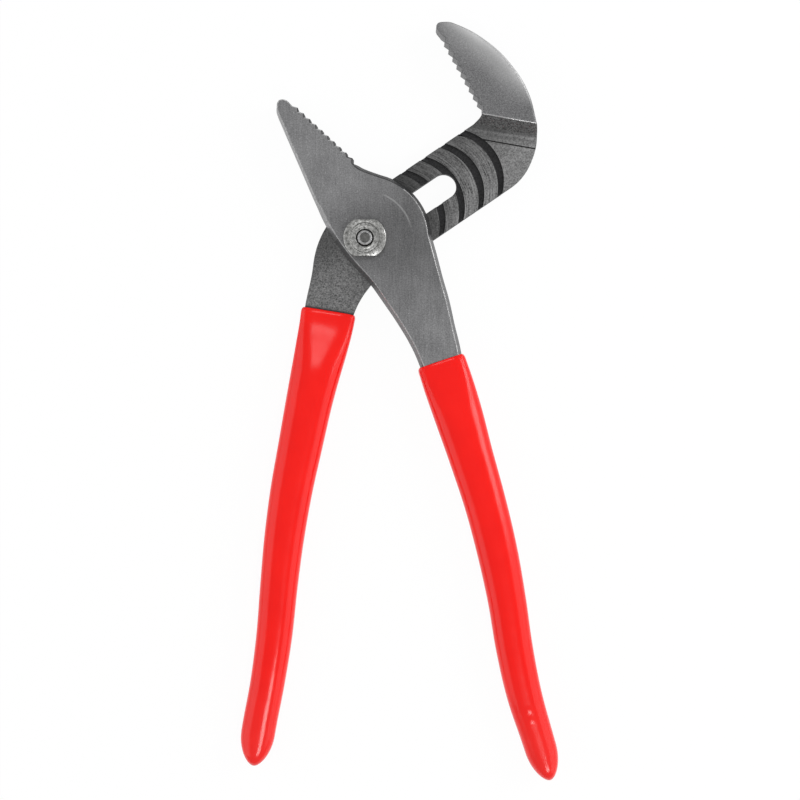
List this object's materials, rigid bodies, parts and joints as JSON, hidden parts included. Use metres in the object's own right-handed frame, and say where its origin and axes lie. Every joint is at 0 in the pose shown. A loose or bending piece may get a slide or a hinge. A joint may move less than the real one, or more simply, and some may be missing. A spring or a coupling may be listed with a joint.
{
  "type": "water pump pliers",
  "caption": "Groove-joint pliers with a hooked jaw on a slotted, grooved arm, a straight jaw that laps over it on a bolt and round nut, and long dipped red grips.",
  "frame": {"origin": "on the pivot axis, at the outer face of the bolt's head, which the tool lies on", "axes": "+Z along the pivot axis from the bolt's head to the nut, +Y from the handles to the jaws, +X to the right seen from the nut's side"},
  "size_m": [0.1274, 0.3028, 0.0188],
  "materials": {
    "forged_steel": "drop-forged, sandblasted, with a polished jaw side and dark grooves",
    "ground_steel": "forged, with a finely belt-ground front face",
    "bolt_steel": "turned, dull",
    "nut_zinc": "zinc plated, mottled",
    "red_vinyl": "dipped vinyl, glossy"
  },
  "bodies": {
    "back_side": {"back_half": "forged_steel", "back_grip": "red_vinyl"},
    "pivot": {"pivot_bolt": "bolt_steel", "pivot_nut": "nut_zinc"},
    "front_side": {"front_half": "ground_steel", "front_grip": "red_vinyl"}
  },
  "joints": [
    {"name": "groove_shift", "type": "slide", "parent": "back_side", "child": "pivot", "axis": [0.8281, 0.5606, 0], "range_m": [0, 0.0376]},
    {"name": "handle_swing", "type": "hinge", "parent": "pivot", "child": "front_side", "pos_m": [0, 0, 0], "axis": [0, 0, 1], "range_deg": [-23, 45]}
  ]
}
